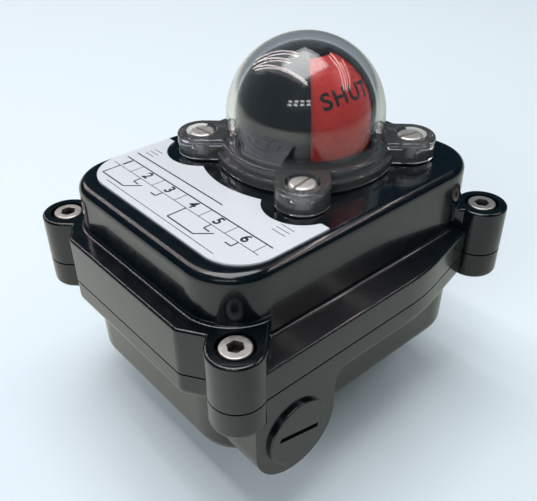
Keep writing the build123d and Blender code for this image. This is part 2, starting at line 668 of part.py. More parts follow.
def shaft_seals():
    """O-rings in the shaft's two seal grooves."""
    half = O_RING_T / 2 - FIT
    return group(ring(SHAFT_R, SHAFT_R - O_RING_T + FIT, z - half, z + half) for z in o_ring_heights())


def retaining_rings():
    """Two spring clips: one above the lower bush, one on top of the upper cam."""
    rings = []
    for low, root, outer in ((CLIP_Z, SHAFT_R, CLIP_R), (CAM_Z[1] + CAM_T, SPLINE_ROOT_R, CLIP_R + 0.8)):
        clip = ring(outer, root - CLIP_GROOVE + FIT, low, low + CLIP_T - FIT)
        clip -= Pos(outer, 0, low + CLIP_T / 2) * Box(2 * outer, 1.1 * root, 2 * CLIP_T)
        rings.append(clip)
    return group(rings)


def bush(low, high, flange_up):
    """Flanged plain bearing for the shaft."""
    body = ring(BUSH_R - 0.01, SHAFT_R + FIT, low, high)
    flange_low = high if flange_up else low - BUSH_FLANGE_T
    return body + ring(BUSH_FLANGE_R, SHAFT_R + FIT, flange_low, flange_low + BUSH_FLANGE_T)


def cam(level, middle):
    """Cam with one rounded nose, splined on the shaft."""
    nose = radians(CAM_NOSE)
    flank = radians(CAM_NOSE + CAM_RAMP)
    tip = CAM_BASE_R + CAM_LIFT
    def at(radius, angle):
        return radius * cos(angle), radius * sin(angle)
    low_left, left, right, low_right = (at(CAM_BASE_R, flank), at(tip, nose), at(tip, -nose), at(CAM_BASE_R, -flank))
    outline = Line(low_right, right) + ThreePointArc(right, (tip, 0), left) + Line(left, low_left)
    outline += ThreePointArc(low_left, (-CAM_BASE_R, 0), low_right)
    plan = Rot(0, 0, middle) * make_face(outline)
    plan -= spline_plan(SPLINE_ROOT_R + FIT, SPLINE_TIP_R + FIT)
    low = CAM_Z[level]
    body = prism(plan, low, low + CAM_T)
    for index in range(6):
        x, y = at(CAM_BASE_R - 1.1, radians(middle + 180.0 + (index - 2.5) * 28.0))
        body -= rod(0.45, low + CAM_T - 0.8, low + CAM_T, x, y)
    return body


def cam_spring():
    """Open coil spring that keeps the two cams on their splines."""
    low = CAM_Z[0] + CAM_T + SPRING_WIRE / 2
    height = CAM_Z[1] - CAM_Z[0] - CAM_T - SPRING_WIRE
    path = Pos(0, 0, low) * Helix(height / SPRING_TURNS, height, SPRING_R)
    section = Plane(origin=path @ 0, z_dir=path % 0) * Circle(SPRING_WIRE / 2)
    return sweep(section, path)


# ---- Switches -------------------------------------------------------------------------------------------
def switch_holes():
    """Fixing hole positions of a switch body."""
    middle_x = FACE_X - SWITCH_HOLE_EDGE - SWITCH_HOLE_PITCH_X / 2
    return [(middle_x + side * SWITCH_HOLE_PITCH_X / 2, SWITCH_MID_Y + side * SWITCH_HOLE_PITCH_Y / 2)
            for side in (-1, 1)]


def switch_body(level):
    """Moulded switch case with its plunger well, lever slot and fixing holes."""
    low = SWITCH_Z[level]
    middle = Pos(FACE_X - SWITCH_D / 2, SWITCH_MID_Y, low + SWITCH_T / 2)
    body = middle * Box(SWITCH_D, SWITCH_L, SWITCH_T)
    body = fillet(body.edges().filter_by(Axis.Z), 1.0)
    seam = middle * (Box(SWITCH_D + 1, SWITCH_L + 1, 0.5) - Box(SWITCH_D - 0.6, SWITCH_L - 0.6, 0.5))
    body -= seam
    for x, y in switch_holes():
        body -= rod(M3_R + HOLE_CLEAR / 2, low, low + SWITCH_T, x, y)
    well = Box(2 * PLUNGER_DEPTH + 1.0, PLUNGER_L + 2 * FIT, PLUNGER_W + 2 * FIT)
    body -= Pos(FACE_X, LEVER_ARM - PLUNGER_ARM, LEVEL[level]) * well
    notch = Box(2 * (PIVOT_R + 0.9), 2 * (PIVOT_R + 1.2), LEVER_W + 1.0)
    body -= Pos(FACE_X, LEVER_ARM, LEVEL[level]) * notch
    ear = Pos(PIVOT_X, LEVER_ARM, 0) * Cylinder(PIVOT_R + 0.9, 1.2)
    ear += Pos(PIVOT_X / 2 + FACE_X / 2 - 0.5, LEVER_ARM, 0) * Box(LEVER_REST + 1.0, 2 * PIVOT_R + 1.8, 1.2)
    offset = LEVER_W / 2 + 0.5 + 0.6
    for side in (-1, 1):
        body += Pos(0, 0, LEVEL[level] + side * offset) * ear
    return body - rod(PIVOT_R + FIT, LEVEL[level] - 4.0, LEVEL[level] + 4.0, PIVOT_X, LEVER_ARM)


def switch_tabs(level):
    """Three flat terminals at the back of a switch."""
    tabs = []
    for index in range(3):
        y = SWITCH_MID_Y + (index - 1) * (TAB_W + 3.2)
        tab = Box(TAB_L, TAB_W, TAB_T) - Pos(-TAB_L / 2 + 1.6, 0, 0) * Cylinder(0.7, 2 * TAB_T)
        tabs.append(Pos(FACE_X - SWITCH_D - TAB_L / 2, y, LEVEL[level]) * tab)
    return group(tabs)


def switch_lever(level, swing):
    """Roller lever: pivot pin, blade and roller fork, at its rest angle."""
    blade_x = PIVOT_X
    reach = LEVER_ARM + 2.0
    blade = Pos(blade_x, LEVER_ARM - reach / 2, 0) * Box(LEVER_T, reach, LEVER_W)
    fork_gap = ROLLER_W + 2 * FIT + 0.3
    fork_x = LEVER_STAND + 1.6
    fork = Pos(blade_x + fork_x / 2 - LEVER_T / 2, 0, 0) * Box(fork_x, 4.0, fork_gap + 2 * LEVER_T)
    fork -= Pos(blade_x + fork_x / 2 + LEVER_T / 2, 0, 0) * Box(fork_x, 5.0, fork_gap)
    pivot = Pos(PIVOT_X, LEVER_ARM, 0) * Cylinder(PIVOT_R, LEVER_W + 3.4)
    pin = Pos(PIVOT_X + LEVER_STAND, 0, 0) * Cylinder(ROLLER_PIN_R, fork_gap + 2 * LEVER_T + 0.4)
    lever = Pos(0, 0, LEVEL[level]) * (blade + fork + pivot + pin)
    return swing_lever(lever, swing)


def swing_lever(solid, swing):
    """Turn a solid about the pivot of the switch levers."""
    return Pos(PIVOT_X, LEVER_ARM, 0) * Rot(0, 0, swing) * Pos(-PIVOT_X, -LEVER_ARM, 0) * solid


def switch_roller(level, swing):
    """Roller on the lever's pin."""
    x = PIVOT_X + LEVER_STAND
    half = ROLLER_W / 2
    wheel = ring(ROLLER_R, ROLLER_PIN_R + FIT, LEVEL[level] - half, LEVEL[level] + half, x, 0)
    return swing_lever(wheel, swing)


def switch_plunger(level, travel):
    """Plunger between the lever and the contacts, with its rest travel."""
    tip = FACE_X + LEVER_REST - LEVER_T / 2 - PLUNGER_GAP + travel
    body = Box(PLUNGER_DEPTH, PLUNGER_L, PLUNGER_W, align=(Align.MAX, Align.CENTER, Align.CENTER))
    body = fillet(body.edges().group_by(Axis.X)[-1], 0.3)
    return Pos(tip, LEVER_ARM - PLUNGER_ARM, LEVEL[level]) * body


def switch_screws():
    """Two long screws through both switches into the bracket."""
    top = SWITCH_Z[1] + SWITCH_T
    length = top - BRACKET_Z
    return group(slotted_screw(x, y, top, 2.8, 1.8, M3_R, length) for x, y in switch_holes())


def switch_spacers():
    """Spacer rings between the two switches."""
    low = SWITCH_Z[0] + SWITCH_T
    return group(ring(M3_R + 1.2, M3_R + HOLE_CLEAR / 2, low, low + SWITCH_GAP, x, y) for x, y in switch_holes())


# ---- Bracket, terminals and earth -----------------------------------------------------------------------
def switch_bracket():
    """Folded plate: the switches on its lower level, the terminals on its shelf."""
    front = FACE_X + BRACKET_FRONT
    outline = Polyline((front, BRACKET_Z), (RISER_X - BRACKET_T, BRACKET_Z), (RISER_X - BRACKET_T, SHELF_Z),
                       (SHELF_END_X, SHELF_Z), (SHELF_END_X, SHELF_Z + BRACKET_T), (RISER_X, SHELF_Z + BRACKET_T),
                       (RISER_X, BRACKET_Z + BRACKET_T), (front, BRACKET_Z + BRACKET_T), close=True)
    profile = make_face(outline)
    folds = [v for v in profile.vertices() if -BRACKET_T - TINY < v.X - RISER_X < TINY]
    profile = fillet(folds, BRACKET_FOLD_R)
    plate = extrude(Plane.XZ * profile, BRACKET_W / 2, both=True)
    for x, y in POSTS:
        plate -= rod(M4_R + HOLE_CLEAR, BRACKET_Z, BRACKET_Z + BRACKET_T, x, y)
    for x, y in switch_holes():
        plate -= rod(M3_R + FIT, BRACKET_Z, BRACKET_Z + BRACKET_T, x, y)
    for x, y in block_screw_places():
        plate -= rod(M3_R + FIT, SHELF_Z, SHELF_Z + BRACKET_T, x, y)
    return plate


def bracket_screws():
    """Two screws that hold the bracket on its posts."""
    seat = BRACKET_Z + BRACKET_T
    return group(slotted_screw(x, y, seat, BRACKET_HEAD_R, M4_HEAD_H, M4_R, BRACKET_SCREW_L, turn)
                 for (x, y), turn in zip(POSTS, (30.0, 75.0)))


def block_screw_places():
    """Fixing screws at both ends of the terminal block."""
    return [(BLOCK_X, side * (BLOCK_L / 2 - BLOCK_SCREW_END)) for side in (-1, 1)]


def pole_places():
    """Middle of each terminal along the block."""
    return [(index - (POLES - 1) / 2) * POLE_PITCH for index in range(POLES)]


def terminal_block():
    """Terminal strip: a wire hole, a clamping screw and its well for each pole, and a fixing foot at each end."""
    low = SHELF_Z + BRACKET_T
    on_shelf = (Align.CENTER, Align.CENTER, Align.MIN)
    body = Box(BLOCK_W, BLOCK_L, BLOCK_H * BLOCK_STEP, align=on_shelf)
    body += Box(BLOCK_W * BLOCK_RIDGE, BLOCK_L - 2 * BLOCK_FOOT, BLOCK_H, align=on_shelf)
    body = Pos(BLOCK_X, 0, low) * body
    for y in pole_places():
        body -= rod(TERMINAL_SCREW_R + FIT + HOLE_CLEAR, low + BLOCK_H - TERMINAL_WELL, low + BLOCK_H, BLOCK_X, y)
        body -= rod(TERMINAL_SHANK_R + FIT, low + WIRE_HOLE_H, low + BLOCK_H, BLOCK_X, y)
        body -= Pos(BLOCK_X, y, low + WIRE_HOLE_H) * Box(2 * BLOCK_W, WIRE_HOLE_W, WIRE_HOLE_H)
    for x, y in block_screw_places():
        body -= rod(M3_R + HOLE_CLEAR, low, low + BLOCK_H, x, y)
    return body


def terminal_screws():
    """Clamping screw of each pole."""
    seat = SHELF_Z + BRACKET_T + BLOCK_H - TERMINAL_WELL
    head_h = TERMINAL_WELL / 2
    return group(slotted_screw(BLOCK_X, y, seat, TERMINAL_SCREW_R, head_h, TERMINAL_SHANK_R, TERMINAL_SCREW_L,
                               index * 25.0) for index, y in enumerate(pole_places()))


def block_screws():
    """Two screws that hold the terminal block on the shelf."""
    seat = SHELF_Z + BRACKET_T + BLOCK_H * BLOCK_STEP
    return group(slotted_screw(x, y, seat, BLOCK_HEAD_R, BLOCK_HEAD_H, M3_R, seat - SHELF_Z, 45.0)
                 for x, y in block_screw_places())


def earth_screw():
    """Earth screw on its boss in the floor."""
    seat = FLOOR + EARTH_BOSS_H + EARTH_WASHER_T
    return slotted_screw(EARTH_X, EARTH_Y, seat, BRACKET_HEAD_R, M4_HEAD_H, M4_R, EARTH_SCREW_L, 20.0)


def earth_washer():
    """Washer under the earth screw."""
    low = FLOOR + EARTH_BOSS_H
    return ring(POST_R, M4_R + FIT, low, low + EARTH_WASHER_T, EARTH_X, EARTH_Y)


def build():
    """All nodes by name."""
    nodes = {
        "base_housing": base_housing(),
        "cover": cover(),
        "cover_gasket": cover_gasket(),
        "cover_screws": cover_screws(),
        "name_plate": name_plate(),
        "conduit_plug": conduit_plug(),
        "plug_seal": plug_seal(),
        "dome": dome(),
        "dome_gasket": dome_gasket(),
        "dome_screws": dome_screws(),
        "indicator_mask": indicator_mask(),
        "rotor_closed_panels": rotor_panels((-90.0, 90.0)),
        "rotor_open_panels": rotor_panels((0.0, 180.0)),
        "rotor_hub": rotor_hub(),
        "rotor_screw": rotor_screw(),
        "shaft": shaft(),
        "shaft_seals": shaft_seals(),
        "retaining_rings": retaining_rings(),
        "lower_bush": bush(0, BOSS_H, True),
        "upper_bush": bush(UPPER_BUSH_Z, COVER_TOP, False),
        "open_cam": cam(0, 90.0),
        "closed_cam": cam(1, 180.0),
        "cam_spring": cam_spring(),
        "switch_bracket": switch_bracket(),
        "bracket_screws": bracket_screws(),
        "switch_screws": switch_screws(),
        "switch_spacers": switch_spacers(),
        "terminal_block": terminal_block(),
        "terminal_screws": terminal_screws(),
        "block_screws": block_screws(),
        "earth_screw": earth_screw(),
        "earth_washer": earth_washer(),
    }
    rest = {"open": (0, LEVER_SWING, PLUNGER_TRAVEL), "closed": (1, 0.0, 0.0)}
    for name, (level, swing, travel) in rest.items():
        nodes[f"{name}_switch"] = switch_body(level)
        nodes[f"{name}_switch_tabs"] = switch_tabs(level)
        nodes[f"{name}_lever"] = switch_lever(level, swing)
        nodes[f"{name}_roller"] = switch_roller(level, swing)
        nodes[f"{name}_plunger"] = switch_plunger(level, travel)
    return nodes


os.makedirs("parts", exist_ok=True)
for name, solid in build().items():
    export_step(solid, f"parts/{name}.step")
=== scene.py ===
"""Looks of a valve limit switch box.

A glossy black cast box carries a clear dome over a turning indicator.

Every size is in metres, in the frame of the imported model.
"""
import bpy
import json
from math import cos, radians, sin
from mathutils import Matrix, Vector


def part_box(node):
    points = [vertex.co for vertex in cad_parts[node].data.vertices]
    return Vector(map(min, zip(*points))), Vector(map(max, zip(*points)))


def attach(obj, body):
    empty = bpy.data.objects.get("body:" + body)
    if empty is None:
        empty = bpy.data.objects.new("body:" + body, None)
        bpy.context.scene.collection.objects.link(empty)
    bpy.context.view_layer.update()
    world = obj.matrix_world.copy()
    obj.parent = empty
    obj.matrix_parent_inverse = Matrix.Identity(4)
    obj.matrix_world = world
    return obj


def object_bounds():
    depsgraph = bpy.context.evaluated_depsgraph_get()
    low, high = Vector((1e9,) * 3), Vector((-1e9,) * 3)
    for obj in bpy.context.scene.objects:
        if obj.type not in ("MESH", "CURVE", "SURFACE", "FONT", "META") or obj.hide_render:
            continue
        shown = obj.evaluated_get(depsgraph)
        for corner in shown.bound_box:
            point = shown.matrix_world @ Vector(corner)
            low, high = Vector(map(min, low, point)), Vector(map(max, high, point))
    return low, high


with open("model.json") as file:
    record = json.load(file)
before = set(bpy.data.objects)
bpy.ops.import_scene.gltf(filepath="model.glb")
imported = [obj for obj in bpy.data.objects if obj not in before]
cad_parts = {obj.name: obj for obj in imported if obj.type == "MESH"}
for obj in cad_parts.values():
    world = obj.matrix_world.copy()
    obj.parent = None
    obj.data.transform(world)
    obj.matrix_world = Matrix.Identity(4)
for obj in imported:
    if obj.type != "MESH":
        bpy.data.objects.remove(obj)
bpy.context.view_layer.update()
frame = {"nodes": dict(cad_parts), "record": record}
NODES = frame["nodes"]

# ---- Camera ---------------------------------------------------------------------------------------------
CAMERA_PLACE = Vector((-0.1316, -0.1352, 0.1560))
CAMERA_AZIMUTH = radians(-40.73)
CAMERA_HEIGHT = radians(34.57)
CAMERA_ROLL = radians(-0.78)
CAMERA_LENS = 45.69
SENSOR_WIDTH = 36.0
NEAR_CLIP = 0.01

# ---- Light ----------------------------------------------------------------------------------------------
WORLD_LEVEL = 1.0
BACKDROP = (0.806, 0.921, 0.982, 1.0)
SOFT_LIGHT = (0.17, 0.20, 0.21, 1.0)
MIRRORED_SKY = (0.015, 0.04, 0.06, 1.0)
SKY_THROUGH_DOME = (0.27, 0.30, 0.33, 1.0)
FLOOR_SEEN = (0.67, 0.76, 0.82, 1.0)
# Painted shade: floor tones seen only in reflections, darker where y - x is low, lighter where it is high
FLOOR_MIRRORED_SHADE = ((0.43, 0.47, 0.44), (0.60, 0.63, 0.59))
FLOOR_BLEND = 0.05         # half width of the change between the two painted shade tones of the mirrored floor
FLOOR_SIZE = 6.0
FLOOR_GAP = 0.0005
KEY_POWER = 3.5
KEY_PLACE = (-0.8, -0.3, 0.5)
KEY_TARGET = (0, 0, 0.03)
KEY_SIZE = (0.45, 0.45)
# x, start and end along y of each tube
TUBE_SPANS = (
    (-0.35, -0.4, 2.4),
    (-0.10, 0.4, 2.6),
    (0.15, 0.4, 2.6),
    (0.75, -1.2, 0.1),
    (1.0, -1.3, -0.1),
)
TUBE_HEIGHT = 1.1
TUBE_WIDTH = 0.05
TUBE_POWER = 1.6           # watts for each metre of tube
TUBE_COLOUR = (1.0, 0.88, 0.87)
PANE_POWER = 0.06
PANE_COLUMNS = 4
PANE_ROWS = 2
PANE_PITCH = 0.10
PANE_CENTRE = (-0.62, -0.42, 0.62)
PANE_TARGET = (0, 0, 0.08)
PANE_SIZE = (0.085, 0.045)
CEILING_POWER = 11.0
CEILING_PLACE = (0.05, 0.15, 1.3)
CEILING_SIZE = (0.9, 0.9)

# ---- Finishes -------------------------------------------------------------------------------------------
METAL_SHADE = 0.82         # dark part of a clouded colour, as a share of the light part
PLASTIC_SHADE = 0.88
INK_SHADE = 0.7
SOCKET_SHADE = 0.0016      # depth at which the painted shade in a screw socket is full
# Painted shade: the dark colour given to the metal down in a screw socket
SOCKET_PAINTED_SHADE = (0.15, 0.145, 0.14, 1.0)
DOME_FOOT = (0.0062, 0.0085)
DOME_FOOT_CLEARNESS = 0.95

# ---- Plate print and indicator words --------------------------------------------------------------------
PRINT_T = 0.00004
WORD_SIZE = 0.0062
WORD_LATITUDE = radians(32.5)
DRUM_R = 0.0192
DOME_R = 0.0234
WORD_SPACING = 1.15
WORD_HEAVY = 0.00016
WORD_CUTS = 3
WORD_START = 1.3           # height from which a word is dropped, in drum radii
WORD_LIFT = 0.00002
BALL_SEGMENTS = 192
TERMINALS = 6
NUMBER_SIZE = 0.0046
NUMBER_HEAVY = 0.00012
PLATE_CELL = 0.01105       # pitch of the terminal numbers
PLATE_START = 0.0300       # middle of the first number's cell, along y
PLATE_ROWS = (-0.0420, -0.0466)
PLATE_EDGES = (-0.0328, 0.0335)
BOLD = 0.00042
FINE = 0.00020
RULE_CORNER = 0.35         # corner rounding of a rule, as a share of its width
LONG_RULES = ((-0.0385, 0.0125, 0.042, BOLD), (-0.0542, 0.0, 0.050, FINE))   # x, y, length, width
SHORT_RULES = ((-0.0285, 0.0050), (0.0300, 0.0040))                          # y, length
SHORT_RULES_X = -0.0348
SHORT_RULES_PITCH = 0.0016
# Change-over contact sign: x places, lengths, and shifts along y from a terminal
SIGN_TERMINALS = 3
STUB_X, STUB_L = -0.0478, 0.0024
COMMON_X, COMMON_L = -0.0508, 0.0036
FOOT_X = -0.0526
ARM_X, ARM_L, ARM_SHIFT, ARM_TILT = -0.0507, 0.0056, 0.0020, 48.0
TICK_X, TICK_L, TICK_SHIFT = -0.0490, 0.0024, 0.0012


# ---- Node helpers ---------------------------------------------------------------------------------------
class Finish:
    """A material under construction: its nodes, links and main shader."""

    def __init__(self, name):
        self.material = bpy.data.materials.new(name)
        self.material.use_nodes = True
        self.nodes = self.material.node_tree.nodes
        self.links = self.material.node_tree.links
        self.shader = self.nodes["Principled BSDF"]
        self.place = self.nodes.new("ShaderNodeTexCoord").outputs["Object"]

    def set(self, **values):
        for name, value in values.items():
            self.shader.inputs[name.replace("_", " ")].default_value = value
        return self

    def noise(self, scale, detail=4.0, roughness=0.5, stretch=None):
        node = self.nodes.new("ShaderNodeTexNoise")
        node.inputs["Scale"].default_value = scale
        node.inputs["Detail"].default_value = detail
        node.inputs["Roughness"].default_value = roughness
        place = self.place
        if stretch:
            mapping = self.nodes.new("ShaderNodeMapping")
            mapping.inputs["Scale"].default_value = stretch
            self.links.new(place, mapping.inputs["Vector"])
            place = mapping.outputs["Vector"]
        self.links.new(place, node.inputs["Vector"])
        return node.outputs["Fac"]

    def ramp(self, factor, stops):
        node = self.nodes.new("ShaderNodeValToRGB")
        while len(node.color_ramp.elements) < len(stops):
            node.color_ramp.elements.new(0.5)
        for element, (place, colour) in zip(node.color_ramp.elements, stops):
            element.position = place
            element.color = colour if len(colour) == 4 else (*colour, 1.0)
        self.links.new(factor, node.inputs["Fac"])
        return node.outputs["Color"]

    def grey_ramp(self, factor, low, high, start=0.3, end=0.7):
        return self.ramp(factor, [(start, (low, low, low)), (end, (high, high, high))])

    def bump(self, height, strength, distance):
        node = self.nodes.new("ShaderNodeBump")
        node.inputs["Strength"].default_value = strength
        node.inputs["Distance"].default_value = distance
        self.links.new(height, node.inputs["Height"])
        self.links.new(node.outputs["Normal"], self.shader.inputs["Normal"])
        return self

    def drive(self, name, output):
        self.links.new(output, self.shader.inputs[name])
        return self


def powder_coat():
    """Glossy navy-black powder coat with a faint orange peel."""
    f = Finish("black_powder_coat")
    f.set(IOR=1.5, Coat_Weight=0.5, Coat_Roughness=0.05)
    cloud = f.noise(60.0, 3.0)
    f.drive("Base Color", f.ramp(cloud, [(0.3, (0.0012, 0.0028, 0.0042)), (0.7, (0.0020, 0.0042, 0.0062))]))
    f.drive("Roughness", f.grey_ramp(f.noise(240.0, 4.0), 0.16, 0.25))
    f.bump(f.noise(700.0, 2.0), 0.03, 0.0003)
    return f.material


def stainless():
    """Turned and rolled stainless steel."""
    f = Finish("stainless_steel")
    f.set(Metallic=1.0)
    f.drive("Base Color", f.ramp(f.noise(300.0), [(0.3, (0.60, 0.59, 0.56)), (0.7, (0.72, 0.70, 0.67))]))
    f.drive("Roughness", f.grey_ramp(f.noise(900.0), 0.42, 0.54))
    f.bump(f.noise(1500.0, 2.0), 0.03, 0.0001)
    return f.material


def socket_stainless():
    """Stainless socket head with painted shade: bright on top and down the rim, painted dark down in the
    socket.
    """
    f = Finish("stainless_socket_heads")
    f.set(Metallic=1.0)
    bright = f.ramp(f.noise(300.0), [(0.3, (0.52, 0.50, 0.48)), (0.7, (0.64, 0.62, 0.59))])
    split = f.nodes.new("ShaderNodeSeparateXYZ")
    f.links.new(f.place, split.inputs["Vector"])
    # Painted shade: the colour darkens with depth below the head's top
    shade_by_depth = f.nodes.new("ShaderNodeMapRange")
    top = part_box("cover_screws")[1][2]
    shade_by_depth.inputs["From Min"].default_value = top - SOCKET_SHADE
    shade_by_depth.inputs["From Max"].default_value = top - SOCKET_SHADE / 4
    f.links.new(split.outputs["Z"], shade_by_depth.inputs["Value"])
    mix = f.nodes.new("ShaderNodeMixRGB")
    mix.inputs["Color1"].default_value = SOCKET_PAINTED_SHADE
    f.links.new(shade_by_depth.outputs["Result"], mix.inputs["Fac"])
    f.links.new(bright, mix.inputs["Color2"])
    f.drive("Base Color", mix.outputs["Color"])
    f.drive("Roughness", f.grey_ramp(f.noise(900.0), 0.38, 0.48))
    f.bump(f.noise(1500.0, 2.0), 0.03, 0.0001)
    return f.material


def plain_metal(name, colour, roughness, spread=0.06):
    """Inner metal part with slight cloudiness."""
    f = Finish(name)
    f.set(Metallic=1.0)
    darker = tuple(METAL_SHADE * c for c in colour)
    f.drive("Base Color", f.ramp(f.noise(420.0), [(0.35, darker), (0.65, colour)]))
    f.drive("Roughness", f.grey_ramp(f.noise(800.0), roughness, roughness + spread))
    f.bump(f.noise(1800.0, 2.0), 0.06, 0.0001)
    return f.material


def moulded_plastic(name, colour, roughness, grain=0.05):
    """Injection-moulded plastic with slight cloudiness and a fine skin texture."""
    f = Finish(name)
    f.set(IOR=1.46)
    darker = tuple(PLASTIC_SHADE * c for c in colour)
    f.drive("Base Color", f.ramp(f.noise(90.0, 3.0), [(0.3, darker), (0.7, colour)]))
    f.drive("Roughness", f.grey_ramp(f.noise(400.0), roughness, roughness + 0.08))
    f.bump(f.noise(1500.0, 2.0), grain, 0.0002)
    return f.material


def clear_dome():
    """Clear polycarbonate, slightly milky in the thick foot ring and ears."""
    f = Finish("clear_polycarbonate")
    f.set(IOR=1.5, Base_Color=(0.95, 0.975, 0.985, 1.0))
    split = f.nodes.new("ShaderNodeSeparateXYZ")
    f.links.new(f.place, split.inputs["Vector"])
    clear = f.nodes.new("ShaderNodeMapRange")
    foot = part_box("dome")[0][2]
    clear.inputs["From Min"].default_value = foot + DOME_FOOT[0]
    clear.inputs["From Max"].default_value = foot + DOME_FOOT[1]
    clear.inputs["To Min"].default_value = DOME_FOOT_CLEARNESS
    f.links.new(split.outputs["Z"], clear.inputs["Value"])
    f.drive("Transmission Weight", clear.outputs["Result"])
    f.drive("Roughness", f.grey_ramp(f.noise(120.0, 3.0), 0.0, 0.03))
    return f.material


def satin_plate():
    """Silver-white satin plate."""
    f = Finish("satin_plate")
    f.set(Metallic=0.1)
    f.drive("Base Color", f.ramp(f.noise(2400.0), [(0.3, (0.58, 0.62, 0.67)), (0.7, (0.67, 0.71, 0.76))]))
    f.drive("Roughness", f.grey_ramp(f.noise(1200.0), 0.36, 0.46))
    f.bump(f.noise(3000.0, 2.0), 0.03, 0.0001)
    return f.material


MATERIALS = {
    "housing": powder_coat(),
    "plug": powder_coat(),
    "seal": moulded_plastic("black_rubber", (0.012, 0.012, 0.013), 0.55),
    "stainless": stainless(),
    "plate": satin_plate(),
    "clear": clear_dome(),
    "black_plastic": moulded_plastic("black_moulding", (0.003, 0.006, 0.008), 0.18, 0.01),
    "red_panel": moulded_plastic("red_moulding", (0.94, 0.045, 0.03), 0.24, 0.01),
    "green_panel": moulded_plastic("green_moulding", (0.012, 0.26, 0.06), 0.24, 0.01),
    "spring_steel": plain_metal("spring_steel", (0.50, 0.50, 0.51), 0.28),
    "bronze": plain_metal("bronze", (0.62, 0.42, 0.18), 0.3),
    "zinc_steel": plain_metal("zinc_plated_steel", (0.62, 0.64, 0.66), 0.3),
    "terminal_plastic": moulded_plastic("grey_terminal_plastic", (0.42, 0.44, 0.43), 0.42),
    "switch_plastic": moulded_plastic("black_switch_plastic", (0.02, 0.02, 0.022), 0.4),
    "roller_plastic": moulded_plastic("nylon", (0.76, 0.73, 0.66), 0.4),
}


def paint_nodes():
    """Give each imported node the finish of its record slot."""
    for entry in frame["record"]["subparts"]:
        node = NODES[entry["node"]]
        node.data.materials.clear()
        node.data.materials.append(MATERIALS[entry["material_slot"]])
    # The cover screws get stainless with painted shade down in their sockets.
    sockets = NODES["cover_screws"].data.materials
    sockets[0] = socket_stainless()


# ---- Plate print ----------------------------------------------------------------------------------------
def ink(name, colour):
    """Printed ink with a slightly uneven edge sheen."""
    f = Finish(name)
    darker = tuple(INK_SHADE * c for c in colour)
    f.drive("Base Color", f.ramp(f.noise(500.0), [(0.35, darker), (0.65, colour)]))
    f.drive("Roughness", f.grey_ramp(f.noise(900.0), 0.35, 0.5))
    return f.material


def mesh_text(words, size, spacing=1.0, heavy=0.0):
    """Text as a flat mesh in the XY plane, centred on the origin, its strokes widened by an offset."""
    bpy.ops.object.select_all(action="DESELECT")
    bpy.ops.object.text_add()
    text = bpy.context.object
    text.data.body = words
    text.data.size = size
    text.data.space_character = spacing
    text.data.offset = heavy
    text.data.align_x = "CENTER"
    text.data.align_y = "CENTER"
    bpy.ops.object.convert(target="MESH")
    return bpy.context.object


def thicken(thing, thickness):
    """Give a flat mesh a thickness upwards."""
    solidify = thing.modifiers.new("solidify", "SOLIDIFY")
    solidify.thickness = thickness
    solidify.offset = 1.0
    bpy.ops.object.modifier_apply(modifier="solidify")


def settle(thing, matrix, material, name, body):
    """Bake a place into the mesh, dress it and let it ride on a body."""
    thing.matrix_world = matrix
    bpy.ops.object.transform_apply(location=True, rotation=True, scale=True)
    thing.name = name
    thing.data.materials.clear()
    thing.data.materials.append(material)
    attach(thing, body)


def rule_piece(length, width):
    """Printed rule with rounded ends, lying along X in the XY plane."""
    bpy.ops.object.select_all(action="DESELECT")
    bpy.ops.mesh.primitive_plane_add(size=1.0)
    rule = bpy.context.object
    rule.scale = (length, width, 1.0)
    bpy.ops.object.transform_apply(location=False, rotation=False, scale=True)
    bpy.ops.object.mode_set(mode="EDIT")
    bpy.ops.mesh.select_all(action="SELECT")
    bpy.ops.mesh.bevel(affect="VERTICES", offset=RULE_CORNER * width, segments=2)
    bpy.ops.object.mode_set(mode="OBJECT")
    return rule


def plate_strokes():
    """Strokes of the print as (x, y, length, angle from the reading direction, width)."""
    low, high = PLATE_EDGES
    middle, length = (low + high) / 2, high - low
    strokes = [(PLATE_ROWS[0], middle, length, 0.0, BOLD), (PLATE_ROWS[1], middle, length, 0.0, FINE)]
    strokes += [(x, y, span, 0.0, width) for x, y, span, width in LONG_RULES]
    for row in range(3):
        x = SHORT_RULES_X + SHORT_RULES_PITCH * (row - 1)
        strokes += [(x, y, span, 0.0, FINE) for y, span in SHORT_RULES]
    for cell in range(TERMINALS + 1):
        y = PLATE_START + PLATE_CELL * (0.5 - cell)
        if low < y < high:
            strokes.append((sum(PLATE_ROWS) / 2, y, PLATE_ROWS[0] - PLATE_ROWS[1], 90.0, FINE))
    for first in range(0, TERMINALS, SIGN_TERMINALS):
        y = [PLATE_START - PLATE_CELL * (first + step) for step in range(SIGN_TERMINALS)]
        strokes += [(STUB_X, place, STUB_L, 90.0, BOLD) for place in y]
        strokes.append((COMMON_X, y[0], COMMON_L, 90.0, BOLD))
        strokes.append((FOOT_X, (y[0] + y[1]) / 2, PLATE_CELL, 0.0, BOLD))
        strokes.append((ARM_X, y[1] - ARM_SHIFT, ARM_L, ARM_TILT, BOLD))
        strokes.append((TICK_X, y[1] - TICK_SHIFT, TICK_L, 0.0, BOLD))
        strokes.append((TICK_X, y[2] + TICK_SHIFT, TICK_L, 0.0, BOLD))
    return strokes


